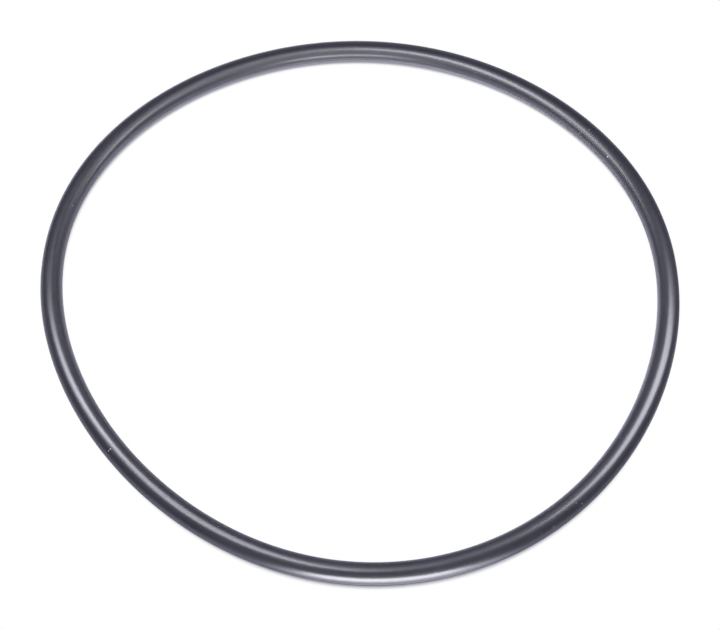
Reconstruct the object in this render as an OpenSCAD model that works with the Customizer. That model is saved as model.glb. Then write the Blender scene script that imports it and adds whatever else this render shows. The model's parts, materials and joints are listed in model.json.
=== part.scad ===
// Rubber O-ring, 110 x 4 mm, moulded in one piece.
//
// The ring lies flat and free, so its outline is a little out of round, as that
// of a soft ring is when nothing presses it into shape. It lies in the XY plane,
// with the middle of its section at Z = 0 and the box round its outline centred
// on the Z axis. All lengths are in millimetres. A direction is an angle about Z,
// from +X towards +Y.

/* [Ring] */
// Inside diameter of the ring, as it measures when it is pressed round
inside_d = 110; // [90:0.5:180]
// Diameter of the round section
section_d = 4; // [2:0.1:7]

/* [Parting line] */
// Width of the low ridge that the two mould halves leave inside and outside
ridge_w = 0.1; // [0.06:0.02:0.4]
// Height of that ridge over the round section
ridge_h = 0.04; // [0.02:0.01:0.3]

/* [Relaxed outline] */
// Bulge of the outline towards two opposite sides
two_sided = 0.886; // [0:0.001:1.5]
// Direction of the first of the two, in degrees
two_sided_at = 135; // [0:0.5:180]
// Bulge of the outline towards three sides
three_sided = 0.881; // [0:0.001:1.2]
// Direction of the first of the three, in degrees
three_sided_at = 36.3; // [0:0.1:120]
// Bulge of the outline towards four sides
four_sided = 0.148; // [0:0.001:0.3]
// Direction of the first of the four, in degrees
four_sided_at = 1.3; // [0:0.1:90]
// Bulge of the outline towards five sides
five_sided = 0.093; // [0:0.001:0.2]
// Direction of the first of the five, in degrees
five_sided_at = 22.2; // [0:0.1:72]
// Bulge of the outline towards six sides
six_sided = 0.054; // [0:0.001:0.1]
// Direction of the first of the six, in degrees
six_sided_at = 13.6; // [0:0.1:60]
// Half the number of round arcs that the outline is joined from
arc_pairs = 12; // [8:1:24]

/* [Hidden] */
$fn = 96;
rubber = [0.23, 0.24, 0.27];
mean_r = (inside_d + section_d) / 2;
arc_count = 2 * round(arc_pairs);
arc_turn = 360 / arc_count;
// How far a thicker arc laps over its neighbours, and by how much it is thicker
lap = section_d / 80;
lap_h = section_d / 500;
// Number of sides, height and first direction of each bulge of the outline
bulges = [
    [2, two_sided, two_sided_at],
    [3, three_sided, three_sided_at],
    [4, four_sided, four_sided_at],
    [5, five_sided, five_sided_at],
    [6, six_sided, six_sided_at],
];

function sides(bulge) = bulge[0];
function height(bulge) = bulge[1];
function phase(bulge, a) = sides(bulge) * (a - bulge[2]);
function rad(a) = a * PI / 180;
function facing(a) = [cos(a), sin(a)];
function sum(list, i = 0) = i < len(list) ? list[i] + sum(list, i + 1) : 0;

// Distance from the middle to the line that touches the outline in direction a.
// Without the bulges the outline is a circle, and this is its radius.
function reach(a) = mean_r + sum([for (b = bulges) height(b) * cos(phase(b, a))]);

// Change of that distance with the direction, per radian
function reach_rate(a) = -sum([for (b = bulges) sides(b) * height(b) * sin(phase(b, a))]);

// Length of the outline from where it faces direction 0 to where it faces a. Its
// radius of curvature is the reach plus the reach's second rate of change.
function run(a) = mean_r * rad(a)
    - sum([for (b = bulges) (sides(b) - 1 / sides(b)) * height(b) * sin(phase(b, a))]);

// Middle of the box round the outline, which is moved onto the Z axis
box_middle = [reach(0) - reach(180), reach(90) - reach(270)] / 2;

// The point of the outline that faces direction a
function outline_point(a) = reach(a) * facing(a) + reach_rate(a) * facing(a + 90) - box_middle;

// Radius of arc i, which has the length of the stretch of outline that it stands for
function arc_r(i) = (run((i + 1) * arc_turn) - run(i * arc_turn)) / rad(arc_turn);

// Centre of arc i. Two neighbours meet where both face the same way, so the centre
// moves along that direction by the difference of their radii.
function arc_centre(i) = i == 0
    ? outline_point(0) - arc_r(0) * facing(0)
    : arc_centre(i - 1) + (arc_r(i - 1) - arc_r(i)) * facing(i * arc_turn);

// Round section with the ridge on its inner and its outer side, grown by over
module section(over) {
    circle(d = section_d + 2 * over);
    square([section_d + 2 * (ridge_h + over), ridge_w + 2 * over], center = true);
}

// One round arc of the ring. Every second arc is thicker by a hair and laps over
// the ends of its two neighbours, which makes the ring one solid.
module arc(i) {
    over = i % 2 == 0 ? lap_h : 0;
    lap_turn = i % 2 == 0 ? lap / arc_r(i) * 180 / PI : 0;
    translate(arc_centre(i))
        rotate(i * arc_turn - lap_turn)
            rotate_extrude(angle = arc_turn + 2 * lap_turn)
                translate([arc_r(i), 0])
                    section(over);
}

module o_ring() {
    color(rubber)
        for (i = [0:arc_count - 1])
            arc(i);
}

o_ring();
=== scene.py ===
"""A rubber O-ring that lies flat on a white table: its moulded rubber, the dust on it, the table,
the lamps, the room and the camera."""

import json
import math

import bpy
import numpy as np
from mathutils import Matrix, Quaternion, Vector


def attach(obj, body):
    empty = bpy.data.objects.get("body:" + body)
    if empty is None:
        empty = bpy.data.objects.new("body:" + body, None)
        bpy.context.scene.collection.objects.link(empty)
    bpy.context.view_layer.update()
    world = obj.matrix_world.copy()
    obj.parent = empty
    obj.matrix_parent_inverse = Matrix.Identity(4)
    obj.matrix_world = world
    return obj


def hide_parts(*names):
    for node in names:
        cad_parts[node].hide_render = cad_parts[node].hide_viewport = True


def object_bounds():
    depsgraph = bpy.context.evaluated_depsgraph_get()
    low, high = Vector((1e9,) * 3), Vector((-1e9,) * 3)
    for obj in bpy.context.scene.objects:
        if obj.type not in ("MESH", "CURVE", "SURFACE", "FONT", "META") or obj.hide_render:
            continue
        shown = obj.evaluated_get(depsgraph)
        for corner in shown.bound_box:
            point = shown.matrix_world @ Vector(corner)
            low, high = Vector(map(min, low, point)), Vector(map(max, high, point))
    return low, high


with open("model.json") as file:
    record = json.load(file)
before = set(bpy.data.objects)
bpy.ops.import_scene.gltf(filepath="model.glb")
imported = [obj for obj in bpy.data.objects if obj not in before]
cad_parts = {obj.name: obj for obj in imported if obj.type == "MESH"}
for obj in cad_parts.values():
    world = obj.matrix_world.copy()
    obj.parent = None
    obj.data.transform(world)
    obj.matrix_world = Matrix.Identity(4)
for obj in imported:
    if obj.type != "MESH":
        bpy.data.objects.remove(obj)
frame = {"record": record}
cad_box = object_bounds()

# The ring
# One endless ring of black nitrile rubber with a round section, compression moulded in a
# mould of two halves. It lies free on the table, so its outline is a little out of round.

MM = 0.001
mounts = frame["record"]["mounts"]
seats = {mount["name"]: mount["dims"]["r_mm"] * MM for mount in mounts}
mean_r = (seats["inner_seat"] + seats["outer_seat"]) / 2
section_r = (seats["outer_seat"] - seats["inner_seat"]) / 2
ridge_w = 0.10 * MM
ridge_h = 0.04 * MM
# Sides, height and first direction in degrees of each bulge of the relaxed outline
bulges = [
    (2, 0.886 * MM, 135.0),
    (3, 0.881 * MM, 36.3),
    (4, 0.148 * MM, 1.3),
    (5, 0.093 * MM, 22.2),
    (6, 0.054 * MM, 13.6),
]


def reach(facing):
    """Distance from the middle to the line that touches the outline where it faces an angle in
    radians: the mean radius plus, for each bulge, its height times the cosine of its number of
    sides times the angle from its first direction."""
    angle = np.asarray(facing, float)
    waves = [
        height * np.cos(sides * (angle - math.radians(first)))
        for sides, height, first in bulges
    ]
    return mean_r + sum(waves)


def reach_rate(facing):
    """Change of the reach with the angle, per radian: for each bulge, minus its height times its
    number of sides times the sine of the same angle as in the reach."""
    angle = np.asarray(facing, float)
    slopes = [
        sides * height * np.sin(sides * (angle - math.radians(first)))
        for sides, height, first in bulges
    ]
    return -sum(slopes)


# The middle of the box round the outline: half of what one side reaches farther than the other
outline_middle = np.array(
    [
        (reach(0) - reach(math.pi)) / 2,
        (reach(math.pi / 2) - reach(-math.pi / 2)) / 2,
        0.0,
    ]
)


def on_ring(facing, turn, lift=0.0):
    """Points over the ring's surface. The middle of the section goes reach outwards and
    reach_rate sideways. From there the point goes out by the section's radius plus lift, in
    the direction turn: 0 is the outer side, a quarter turn the top, half a turn the inner side."""
    out = np.stack([np.cos(facing), np.sin(facing), np.zeros_like(facing)], axis=-1)
    side = np.stack([-np.sin(facing), np.cos(facing), np.zeros_like(facing)], axis=-1)
    up = np.array([0.0, 0.0, 1.0])
    middle = reach(facing)[..., None] * out + reach_rate(facing)[..., None] * side
    away = np.cos(turn)[..., None] * out + np.sin(turn)[..., None] * up
    return middle - outline_middle + (section_r + lift)[..., None] * away


def ridge(turn):
    """Height of the parting-line ridge, a hump over the outer and the inner side: its full height
    times e to minus the fourth power of the distance from its middle over half its width."""
    across = section_r * np.sin(turn)
    return ridge_h * np.exp(-((2 * across / ridge_w) ** 4))


def round_steps(plain, fine):
    """Angles round the section, in fine steps over the two ridges and a little past them, and in
    plain steps between them."""
    edge = 1.2 * ridge_w / section_r
    quarter = np.linspace(edge, math.pi - edge, plain, endpoint=False)
    over_ridge = np.linspace(-edge, edge, fine, endpoint=False)
    return np.concatenate([over_ridge, quarter, over_ridge + math.pi, quarter + math.pi])


def grid_faces(rows, columns):
    """Four corner numbers for each face of a grid that is closed both ways."""
    corner = np.arange(rows * columns).reshape(rows, columns)
    ahead = np.roll(corner, -1, axis=0)
    loops = [corner, ahead, np.roll(ahead, -1, 1), np.roll(corner, -1, 1)]
    return np.stack(loops, axis=-1).reshape(-1, 4)


def mesh_object(name, points, faces):
    """An object with smooth faces, made from arrays of points and of corner numbers."""
    mesh = bpy.data.meshes.new(name)
    mesh.from_pydata(points.reshape(-1, 3), [], faces)
    mesh.polygons.foreach_set("use_smooth", np.ones(len(mesh.polygons), bool))
    mesh.update()
    made = bpy.data.objects.new(name, mesh)
    bpy.context.scene.collection.objects.link(made)
    return made


along_steps = 1360
facing, turn = np.meshgrid(
    np.linspace(0, 2 * math.pi, along_steps, endpoint=False),
    round_steps(plain=27, fine=6),
    indexing="ij",
)
ring = mesh_object("rubber_ring", on_ring(facing, turn, ridge(turn)), grid_faces(*facing.shape))

# Where each point lies round the section and along the ring, as circles, so that a pattern
# which follows the surface has no seam
round_way = np.stack([np.cos(turn), np.sin(turn), np.cos(facing)], axis=-1)
layer = ring.data.attributes.new("round_section", "FLOAT_VECTOR", "POINT")
layer.data.foreach_set("vector", round_way.astype(np.float32).ravel())
layer = ring.data.attributes.new("along_ring", "FLOAT", "POINT")
layer.data.foreach_set("value", np.sin(facing).astype(np.float32).ravel())


def node(tree, kind, at, values=None, **settings):
    """A node of a kind at a place in steps, with its settings and the values of its inputs."""
    step = 220
    made = tree.nodes.new(kind)
    made.location = (at[0] * step, at[1] * step)
    for name, setting in settings.items():
        setattr(made, name, setting)
    for socket, value in (values or {}).items():
        made.inputs[socket].default_value = value
    return made


def ramp(tree, at, start, end, low=0.0, high=1.0, **settings):
    """A node whose result goes from low to high as its value goes from start to end."""
    ends = {"From Min": start, "From Max": end, "To Min": low, "To Max": high}
    return node(tree, "ShaderNodeMapRange", at, ends, **settings)


rubber = bpy.data.materials.new("moulded_rubber")
rubber.use_nodes = True
tree = rubber.node_tree
link = tree.links.new
shader = tree.nodes["Principled BSDF"]
shader.inputs["Specular IOR Level"].default_value = 0.83
shader.inputs["Coat Weight"].default_value = 0.9
shader.inputs["Coat Roughness"].default_value = 0.24
shader.inputs["Coat IOR"].default_value = 1.5

# The faint bloom on the rubber: clouds of some millimetres with finer spots in them
bare_tone = (0.0090, 0.0099, 0.0145, 1)
bloom_tone = (0.0177, 0.0183, 0.0264, 1)
coordinates = node(tree, "ShaderNodeTexCoord", (-8, 2))
cloud_form = {"Scale": 150.0, "Detail": 3.0, "Roughness": 0.6}
clouds = node(tree, "ShaderNodeTexNoise", (-6, 3), cloud_form)
spot_form = {"Scale": 1400.0, "Detail": 2.0, "Roughness": 0.5}
spots = node(tree, "ShaderNodeTexNoise", (-6, 2), spot_form)
both = node(tree, "ShaderNodeMix", (-5, 3), {"Factor": 0.5}, data_type="FLOAT")
bloom = ramp(tree, (-4, 3), 0.38, 0.62)
tone = node(tree, "ShaderNodeMix", (-2, 3), data_type="RGBA")
tone.inputs["A"].default_value = bare_tone
tone.inputs["B"].default_value = bloom_tone
link(coordinates.outputs["Object"], clouds.inputs["Vector"])
link(coordinates.outputs["Object"], spots.inputs["Vector"])
link(clouds.outputs["Fac"], both.inputs["A"])
link(spots.outputs["Fac"], both.inputs["B"])
link(both.outputs["Result"], bloom.inputs["Value"])
link(bloom.outputs["Result"], tone.inputs["Factor"])

# Fine dust that clings to the rubber: specks in a few of the cells of a pattern, and one soft
# smudge low on the near side
speck_tone = (0.42, 0.42, 0.45, 1)
smudge_at = on_ring(np.radians(305.7), np.radians(31.0), np.array(0.0))
cells = node(tree, "ShaderNodeTexVoronoi", (-6, 5), {"Scale": 1000.0, "Randomness": 1.0})
speck = ramp(tree, (-5, 5), 0.07, 0.03)
cell_colour = node(tree, "ShaderNodeSeparateColor", (-5.5, 6))
picked = ramp(tree, (-5, 6), 0.80, 1.00)
specks = node(tree, "ShaderNodeMath", (-4, 5), operation="MULTIPLY")
from_smudge = node(tree, "ShaderNodeVectorMath", (-6, 7), {1: smudge_at}, operation="DISTANCE")
smudge = ramp(tree, (-5, 7), 0.45 * MM, 0.05 * MM, high=0.16, interpolation_type="SMOOTHSTEP")
dusty = node(tree, "ShaderNodeMath", (-3, 5), operation="MAXIMUM")
dusted = node(tree, "ShaderNodeMix", (-1, 3), data_type="RGBA")
dusted.inputs["B"].default_value = speck_tone
link(coordinates.outputs["Object"], cells.inputs["Vector"])
link(cells.outputs["Distance"], speck.inputs["Value"])
link(cells.outputs["Color"], cell_colour.inputs[0])
link(cell_colour.outputs[0], picked.inputs["Value"])
link(speck.outputs["Result"], specks.inputs[0])
link(picked.outputs["Result"], specks.inputs[1])
link(coordinates.outputs["Object"], from_smudge.inputs[0])
link(from_smudge.outputs["Value"], smudge.inputs["Value"])
link(specks.outputs[0], dusty.inputs[0])
link(smudge.outputs["Result"], dusty.inputs[1])
link(dusty.outputs[0], dusted.inputs["Factor"])
link(tone.outputs["Result"], dusted.inputs["A"])
link(dusted.outputs["Result"], shader.inputs["Base Color"])

# Streaks that run along the ring, left by the flow of the rubber in its mould. The noise has
# four dimensions: twice two that go round a circle, so that it closes on itself both ways.
round_section = node(tree, "ShaderNodeAttribute", (-8, 0), attribute_name="round_section")
along_ring = node(tree, "ShaderNodeAttribute", (-8, -1), attribute_name="along_ring")
stretch = {1: (5.0, 5.0, 3.0)}
drawn_out = node(tree, "ShaderNodeVectorMath", (-7, 0), stretch, operation="MULTIPLY")
far_on = node(tree, "ShaderNodeMath", (-7, -1), {1: 3.0}, operation="MULTIPLY")
streak_form = {"Scale": 1.0, "Detail": 3.0, "Roughness": 0.6}
streaks = node(tree, "ShaderNodeTexNoise", (-6, 0), streak_form, noise_dimensions="4D")
gloss = ramp(tree, (-2, 0), 0.3, 0.7, 0.36, 0.44)
link(round_section.outputs["Vector"], drawn_out.inputs[0])
link(along_ring.outputs["Fac"], far_on.inputs[0])
link(drawn_out.outputs[0], streaks.inputs["Vector"])
link(far_on.outputs[0], streaks.inputs["W"])
link(streaks.outputs["Fac"], gloss.inputs["Value"])
link(gloss.outputs["Result"], shader.inputs["Roughness"])

# The grain of the mould's wall, and a slight waviness of the soft ring's skin
grain_form = {"Scale": 3600.0, "Detail": 2.0, "Roughness": 0.6}
grain = node(tree, "ShaderNodeTexNoise", (-6, -2), grain_form)
wave_form = {"Scale": 260.0, "Detail": 1.0, "Roughness": 0.5}
waves = node(tree, "ShaderNodeTexNoise", (-6, -3), wave_form)
fine_bump = node(tree, "ShaderNodeBump", (-2, -2), {"Strength": 1.0, "Distance": 0.003 * MM})
wide_bump = node(tree, "ShaderNodeBump", (-3, -3), {"Strength": 1.0, "Distance": 0.02 * MM})
link(coordinates.outputs["Object"], grain.inputs["Vector"])
link(coordinates.outputs["Object"], waves.inputs["Vector"])
link(waves.outputs["Fac"], wide_bump.inputs["Height"])
link(grain.outputs["Fac"], fine_bump.inputs["Height"])
link(wide_bump.outputs["Normal"], fine_bump.inputs["Normal"])
link(fine_bump.outputs["Normal"], shader.inputs["Normal"])

ring.data.materials.append(rubber)
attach(ring, "root")
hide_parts("o_ring")

# The dust
# Dust that has settled on the ring: a white grain on its far side, a pale sliver across the
# left of its near side, short lint and small grains. Each lies on the rubber's skin.


def dust_piece(facing_at, turn_at, heading, length, width, height, bow=0.0):
    """Points of a small rounded body on the ring's skin. It runs for its length at a heading
    from the ring's direction, sideways by a bow in its middle. Its width and height shrink
    towards both ends as those of an ellipse, almost to nothing."""
    points_along = 13
    points_round = 8
    above_skin = 0.3 * height
    blunt_end = 0.001
    step = np.linspace(-1, 1, points_along)
    around = np.linspace(0, 2 * math.pi, points_round, endpoint=False)[:, None]
    ahead = step * length / 2
    aside = bow * (1 - step**2)
    facing = facing_at + (ahead * math.cos(heading) - aside * math.sin(heading)) / mean_r
    turn = turn_at + (ahead * math.sin(heading) + aside * math.cos(heading)) / section_r
    spine = on_ring(facing, turn, np.full_like(turn, above_skin))
    upright = (on_ring(facing, turn, np.full_like(turn, MM)) - on_ring(facing, turn, 0 * turn)) / MM
    onward = np.gradient(spine, axis=0)
    aside_way = np.cross(onward / np.linalg.norm(onward, axis=1, keepdims=True), upright)
    shrink = np.sqrt(np.clip(1 - step**2, blunt_end, 1))[:, None, None]
    rim = np.cos(around) * width / 2 * aside_way[:, None, :]
    crown = np.sin(around) * height / 2 * upright[:, None, :]
    return spine[:, None, :] + shrink * (rim + crown)


# Direction on the ring, angle round the section and heading in degrees, then length, width,
# height and bow in millimetres
settled = [
    (32.95, 135.0, 15.0, 0.28, 0.24, 0.20, 0.0),
    (218.50, 62.0, 90.0, 0.28, 0.18, 0.10, 0.0),
    (218.52, 52.0, 92.0, 0.55, 0.07, 0.05, 0.03),
    (40.19, 101.0, 119.0, 0.78, 0.04, 0.03, 0.05),
    (41.25, 150.0, 60.0, 0.16, 0.08, 0.05, 0.0),
    (41.12, 137.0, 20.0, 0.30, 0.04, 0.03, 0.02),
    (312.62, 40.5, 30.0, 0.16, 0.10, 0.05, 0.0),
    (311.75, 64.5, 140.0, 0.12, 0.07, 0.04, 0.0),
    (164.25, 126.0, 75.0, 0.34, 0.04, 0.03, 0.03),
    (327.0, 118.0, 50.0, 0.42, 0.03, 0.03, 0.06),
]
# Small grains strewn round the directions where the ring is dustiest
dustiest = [32.0, 155.0, 312.0, 60.0, 250.0]
grain_count = 26
spread = 14
chance = np.random.default_rng(5)
for direction in chance.choice(dustiest, grain_count):
    size = chance.uniform(0.03, 0.06)
    settled.append(
        (
            direction + chance.normal(0, spread),
            chance.uniform(20, 165),
            chance.uniform(0, 180),
            size * chance.uniform(1.0, 1.8),
            size,
            0.6 * size,
            0.0,
        )
    )
pieces = np.array(
    [dust_piece(*np.radians(row[:3]), *(value * MM for value in row[3:])) for row in settled]
)
count, rows, columns = pieces.shape[:3]
one = grid_faces(rows, columns)[:-columns]
all_faces = (one[None] + np.arange(count)[:, None, None] * rows * columns).reshape(-1, 4)
dust = mesh_object("dust_on_ring", pieces, all_faces)

pale_dust = bpy.data.materials.new("pale_dust")
pale_dust.use_nodes = True
tree = pale_dust.node_tree
link = tree.links.new
shader = tree.nodes["Principled BSDF"]
shader.inputs["Roughness"].default_value = 0.85
coordinates = node(tree, "ShaderNodeTexCoord", (-4, 0))
fibres = node(tree, "ShaderNodeTexNoise", (-3, 0), {"Scale": 9000.0, "Detail": 2.0})
paleness = node(tree, "ShaderNodeMix", (-1, 0), data_type="RGBA")
paleness.inputs["A"].default_value = (0.60, 0.60, 0.62, 1)
paleness.inputs["B"].default_value = (0.86, 0.86, 0.88, 1)
link(coordinates.outputs["Object"], fibres.inputs["Vector"])
link(fibres.outputs["Fac"], paleness.inputs["Factor"])
link(paleness.outputs["Result"], shader.inputs["Base Color"])
dust.data.materials.append(pale_dust)
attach(dust, "root")

# The table
# A plain sheet with a slight gloss, lit by the lamps and mirrored by the ring. The camera sees
# it as plain white, with the shade that the ring casts beside itself.

table_size = 3.0
table_z = cad_box[0].z
half = table_size / 2
corners = half * np.array([[-1, -1, 0], [1, -1, 0], [1, 1, 0], [-1, 1, 0]])
table = mesh_object("white_table", corners + [0, 0, table_z], [(0, 1, 2, 3)])

white = bpy.data.materials.new("white_sheet")
white.use_nodes = True
tree = white.node_tree
link = tree.links.new
sheet = tree.nodes["Principled BSDF"]
sheet.inputs["Roughness"].default_value = 0.15
sheet.inputs["IOR"].default_value = 1.8

# Painted light and shade on the sheet, where the rubber mirrors it: paler towards the far right
# inside the ring, and outside the ring paler behind and in front than at the sides. The gloss
# goes with this painted light.
most = 1.4
# The sheet's colour where its painted light is palest
painted_light_palest = (0.605 * most, 0.605 * most, 0.685 * most, 1)
place = node(tree, "ShaderNodeTexCoord", (-8, 0))
from_middle = node(tree, "ShaderNodeVectorMath", (-7, 2), operation="LENGTH")
outside = ramp(tree, (-6, 2), seats["inner_seat"], seats["outer_seat"])
far_right = {1: (0.29 / mean_r, 0.27 / mean_r, 0.0)}
to_far_right = node(tree, "ShaderNodeVectorMath", (-7, 1), far_right, operation="DOT_PRODUCT")
painted_light_inside = node(tree, "ShaderNodeMath", (-6, 1), {1: 0.95}, operation="ADD")
way = node(tree, "ShaderNodeVectorMath", (-7, 0), operation="NORMALIZE")
squares = node(tree, "ShaderNodeVectorMath", (-6, 0), operation="MULTIPLY")
back_left = {1: (-0.17, 0.33, 0.0)}
to_back_left = node(tree, "ShaderNodeVectorMath", (-5, -1), back_left, operation="DOT_PRODUCT")
both_ends = {1: (-0.53, 0.53, 0.0)}
fore_and_aft = node(tree, "ShaderNodeVectorMath", (-5, 0), both_ends, operation="DOT_PRODUCT")
both_ways = node(tree, "ShaderNodeMath", (-4, 0), operation="ADD")
painted_light_outside = node(tree, "ShaderNodeMath", (-3, 0), {1: 1.0}, operation="ADD")
painted_light_here = node(tree, "ShaderNodeMix", (-2, 1), data_type="FLOAT")
painted_light_share = ramp(tree, (-1, 1), 0.0, most)
# Painted light: the sheet's colour is its palest colour scaled by the painted paleness
painted_light_tone = node(tree, "ShaderNodeMix", (0, 1), data_type="RGBA")
painted_light_tone.inputs["A"].default_value = (0.0, 0.0, 0.0, 1)
painted_light_tone.inputs["B"].default_value = painted_light_palest
gloss_with_painted_light = node(tree, "ShaderNodeMath", (-1, 0), {1: 0.55}, operation="MULTIPLY")
link(place.outputs["Object"], from_middle.inputs[0])
link(from_middle.outputs["Value"], outside.inputs["Value"])
link(place.outputs["Object"], to_far_right.inputs[0])
link(to_far_right.outputs["Value"], painted_light_inside.inputs[0])
link(place.outputs["Object"], way.inputs[0])
link(way.outputs[0], squares.inputs[0])
link(way.outputs[0], squares.inputs[1])
link(way.outputs[0], to_back_left.inputs[0])
link(squares.outputs[0], fore_and_aft.inputs[0])
link(to_back_left.outputs["Value"], both_ways.inputs[0])
link(fore_and_aft.outputs["Value"], both_ways.inputs[1])
link(both_ways.outputs[0], painted_light_outside.inputs[0])
link(outside.outputs["Result"], painted_light_here.inputs["Factor"])
link(painted_light_inside.outputs[0], painted_light_here.inputs["A"])
link(painted_light_outside.outputs[0], painted_light_here.inputs["B"])
link(painted_light_here.outputs["Result"], painted_light_share.inputs["Value"])
link(painted_light_here.outputs["Result"], gloss_with_painted_light.inputs[0])
link(painted_light_share.outputs["Result"], painted_light_tone.inputs["Factor"])
link(painted_light_tone.outputs["Result"], sheet.inputs["Base Color"])
link(gloss_with_painted_light.outputs[0], sheet.inputs["Specular IOR Level"])

# In mirrored light the sheet also glows: inside the ring towards its far side, and outside it
# in front, more so farther out, and faintly at the far left
glow_colour = (0.97, 0.97, 1.1, 1)
axes = node(tree, "ShaderNodeSeparateXYZ", (-7, -3))
inner_glow = ramp(tree, (-6, -3), -40 * MM, 50 * MM, high=0.33)
front = {1: (0.08, -1.0, 0.0)}
to_front = node(tree, "ShaderNodeVectorMath", (-7, -4), front, operation="DOT_PRODUCT")
front_part = ramp(tree, (-6, -4), 0.90, 0.985, interpolation_type="SMOOTHSTEP")
farther_out = ramp(tree, (-6, -4.5), 60.5 * MM, 66 * MM, high=3.3)
front_glow = node(tree, "ShaderNodeMath", (-5.5, -4), operation="MULTIPLY")
far_left = {1: (-0.7, 0.7, 0.0)}
to_far_left = node(tree, "ShaderNodeVectorMath", (-7, -5), far_left, operation="DOT_PRODUCT")
left_glow = ramp(tree, (-6, -5), 0.5, 1.0, high=0.15)
outer_glow = node(tree, "ShaderNodeMath", (-5, -4), operation="ADD")
whole_glow = node(tree, "ShaderNodeMix", (-4, -3), data_type="FLOAT")
ray_kind = node(tree, "ShaderNodeLightPath", (-5, -6))
mirrored = node(tree, "ShaderNodeMath", (-4, -5), operation="ADD")
glow = node(tree, "ShaderNodeMath", (-3, -4), operation="MULTIPLY")
sheet.inputs["Emission Color"].default_value = glow_colour
link(place.outputs["Object"], axes.inputs[0])
link(axes.outputs["Y"], inner_glow.inputs["Value"])
link(way.outputs[0], to_front.inputs[0])
link(way.outputs[0], to_far_left.inputs[0])
link(to_front.outputs["Value"], front_part.inputs["Value"])
link(from_middle.outputs["Value"], farther_out.inputs["Value"])
link(front_part.outputs["Result"], front_glow.inputs[0])
link(farther_out.outputs["Result"], front_glow.inputs[1])
link(to_far_left.outputs["Value"], left_glow.inputs["Value"])
link(front_glow.outputs[0], outer_glow.inputs[0])
link(left_glow.outputs["Result"], outer_glow.inputs[1])
link(outside.outputs["Result"], whole_glow.inputs["Factor"])
link(inner_glow.outputs["Result"], whole_glow.inputs["A"])
link(outer_glow.outputs[0], whole_glow.inputs["B"])
link(ray_kind.outputs["Is Glossy Ray"], mirrored.inputs[0])
link(ray_kind.outputs["Is Transmission Ray"], mirrored.inputs[1])
link(whole_glow.outputs["Result"], glow.inputs[0])
link(mirrored.outputs[0], glow.inputs[1])
link(glow.outputs[0], sheet.inputs["Emission Strength"])

# The camera sees it white, and dark only where the ring hides much of the sky over it. The
# open sky is counted round a direction that leans back, and more so in front of the ring.
deepest_shade = (0.30, 0.30, 0.36, 1)
near_or_far = node(tree, "ShaderNodeSeparateXYZ", (-7, 4))
back_lean = ramp(tree, (-6, 4), -0.2, -0.9, 0.06, 0.20)
leaning = node(tree, "ShaderNodeCombineXYZ", (-5, 4), {"X": -0.08, "Z": 0.99})
hidden = node(tree, "ShaderNodeAmbientOcclusion", (-4, 4), {"Distance": 8 * MM}, samples=32)
shut = ramp(tree, (-3, 4), 0.445, 0.22, interpolation_type="SMOOTHSTEP")
shade = node(tree, "ShaderNodeMix", (-1, 4), data_type="RGBA")
shade.inputs["A"].default_value = (1.0, 1.0, 1.0, 1)
shade.inputs["B"].default_value = deepest_shade
shown = node(tree, "ShaderNodeEmission", (0, 4))
choice = node(tree, "ShaderNodeMixShader", (2, 2))
output = tree.nodes["Material Output"]
link(way.outputs[0], near_or_far.inputs[0])
link(near_or_far.outputs["Y"], back_lean.inputs["Value"])
link(back_lean.outputs["Result"], leaning.inputs["Y"])
link(leaning.outputs[0], hidden.inputs["Normal"])
link(hidden.outputs["AO"], shut.inputs["Value"])
link(shut.outputs["Result"], shade.inputs["Factor"])
link(shade.outputs["Result"], shown.inputs["Color"])
link(ray_kind.outputs["Is Camera Ray"], choice.inputs[0])
link(sheet.outputs[0], choice.inputs[1])
link(shown.outputs[0], choice.inputs[2])
link(choice.outputs[0], output.inputs["Surface"])
table.data.materials.append(white)

# The lamps
# Soft boxes over the left and the right of the ring and a dim one low over its middle, small
# ones that brighten a part of their reflections, and two low panels, a bright one in front and
# a dim one behind. Their reflections are the long streaks on the rubber.

lamp_colour = (1.0, 0.99, 1.10)
panel_colour = (1.0, 0.99, 1.02)


def soft_box(name, at, towards, size, radiance, turned=0.0):
    """A rectangular lamp of a size, at a point, that faces another point. Its watts are the
    radiance that it should have, times its area, times pi."""
    data = bpy.data.lights.new(name, "AREA")
    data.shape = "RECTANGLE"
    data.size, data.size_y = size
    data.energy = radiance * math.pi * size[0] * size[1]
    data.color = lamp_colour
    lamp = bpy.data.objects.new(name, data)
    lamp.location = at
    facing_it = (Vector(towards) - Vector(at)).to_track_quat("-Z", "Y")
    lamp.rotation_euler = (facing_it @ Quaternion((0, 0, 1), math.radians(turned))).to_euler()
    bpy.context.scene.collection.objects.link(lamp)
    return lamp


# Name, place and aim in mean radii from the ring's middle, width and height in metres, radiance
# and turn in degrees
soft_boxes = [
    ("left_box", (-0.910, 0.014, 1.634), (1.537, -1.700, 0), (0.0339, 0.1320), 3.48, 21.4),
    ("left_core", (-1.699, 0.620, 2.259), (-0.963, -0.936, 0), (0.0776, 0.0416), 5.34, -7.5),
    ("high_box", (-1.316, -0.396, 4.118), (0.741, 0.148, 0), (0.0779, 0.1507), 5.25, -12.0),
    ("far_core", (-0.428, -0.169, 3.669), (0.371, 0.940, 0), (0.0389, 0.0436), 3.60, 0.9),
    ("right_box", (1.873, 0.079, 1.879), (0.790, -5.103, 0), (0.0859, 0.1220), 6.13, 10.3),
    ("near_box", (0.002, 0.445, 0.996), (-0.778, 1.620, 0), (0.0377, 0.1454), 1.03, -26.2),
    ("near_core", (0.570, 0.477, 1.353), (0.013, 1.578, 0), (0.0361, 0.0467), 0.80, 1.5),
]
for name, at, aim, size, radiance, turned in soft_boxes:
    soft_box(name, Vector(at) * mean_r, Vector(aim) * mean_r, size, radiance, turned)

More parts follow.
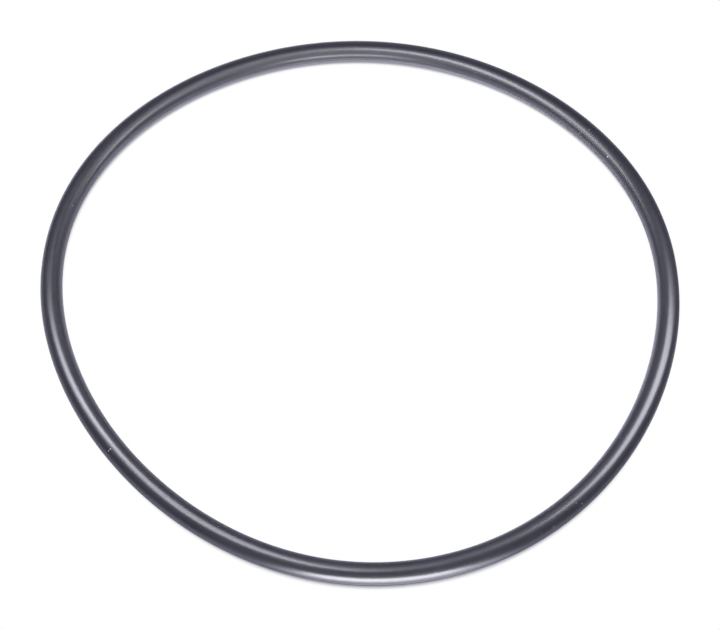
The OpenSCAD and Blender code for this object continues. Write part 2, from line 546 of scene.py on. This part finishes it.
# The panels stand upright on the table, at points in metres, and face the ring
front_at = Vector((0.0090, -0.1380, 0.0115))
back_at = Vector((0.0031, 0.0692, 0.0058))
to_middle = Vector((1, 0, 1))
front_panel = soft_box("front_panel", front_at, front_at * to_middle, (0.0930, 0.0270), 10.8)
front_panel.data.color = panel_colour
soft_box("back_panel", back_at, back_at * to_middle, (0.1420, 0.0150), 0.16)

# The room
# It is dim as the ring's gloss shows it, and a little lighter overhead. The camera, and glass
# that something might be seen through, see it as a white backdrop.

world = bpy.data.worlds.new("pale_room")
world.use_nodes = True
bpy.context.scene.world = world
tree = world.node_tree
link = tree.links.new
tree.nodes.clear()
skyward = node(tree, "ShaderNodeTexCoord", (-5, 0))
height = node(tree, "ShaderNodeSeparateXYZ", (-4, 0))
overhead = ramp(tree, (-3, 0), 0.0, 1.0, 0.158, 0.231)
ray_kind = node(tree, "ShaderNodeLightPath", (-3, 1))
seen = node(tree, "ShaderNodeMath", (-2, 1), operation="MAXIMUM")
room = node(tree, "ShaderNodeBackground", (-1, 0), {"Color": (0.96, 0.98, 1.22, 1)})
backdrop = node(tree, "ShaderNodeBackground", (-1, -1), {"Color": (1, 1, 1, 1), "Strength": 1.0})
choice = node(tree, "ShaderNodeMixShader", (0, 0))
output = node(tree, "ShaderNodeOutputWorld", (1, 0))
link(skyward.outputs["Generated"], height.inputs[0])
link(height.outputs["Z"], overhead.inputs["Value"])
link(overhead.outputs["Result"], room.inputs["Strength"])
link(ray_kind.outputs["Is Camera Ray"], seen.inputs[0])
link(ray_kind.outputs["Is Transmission Ray"], seen.inputs[1])
link(seen.outputs[0], choice.inputs[0])
link(room.outputs[0], choice.inputs[1])
link(backdrop.outputs[0], choice.inputs[2])
link(choice.outputs[0], output.inputs["Surface"])

# The camera
# It stands in front of the ring and looks steeply down on it. Its place and lens are those
# that give the ring's outline in the photograph.

image_width = 720
focal_pixels = 2007.2
camera_distance = 6.5182 * mean_r
camera_height_angle = math.radians(57.111)
tilt_past_middle = math.radians(0.7804)
pan_left = math.radians(0.0277)
data = bpy.data.cameras.new("camera")
data.sensor_width = 36.0
data.lens = data.sensor_width * focal_pixels / image_width
data.clip_start, data.clip_end = 0.01, 10.0
camera = bpy.data.objects.new("camera", data)
bpy.context.scene.collection.objects.link(camera)
towards_camera = Vector((0.0, -math.cos(camera_height_angle), math.sin(camera_height_angle)))
camera.location = Vector(-outline_middle) + camera_distance * towards_camera
camera.rotation_mode = "YXZ"
camera.rotation_euler = (math.pi / 2 - camera_height_angle - tilt_past_middle, pan_left, 0.0)
bpy.context.scene.camera = camera
bpy.context.scene.view_settings.view_transform = "Standard"
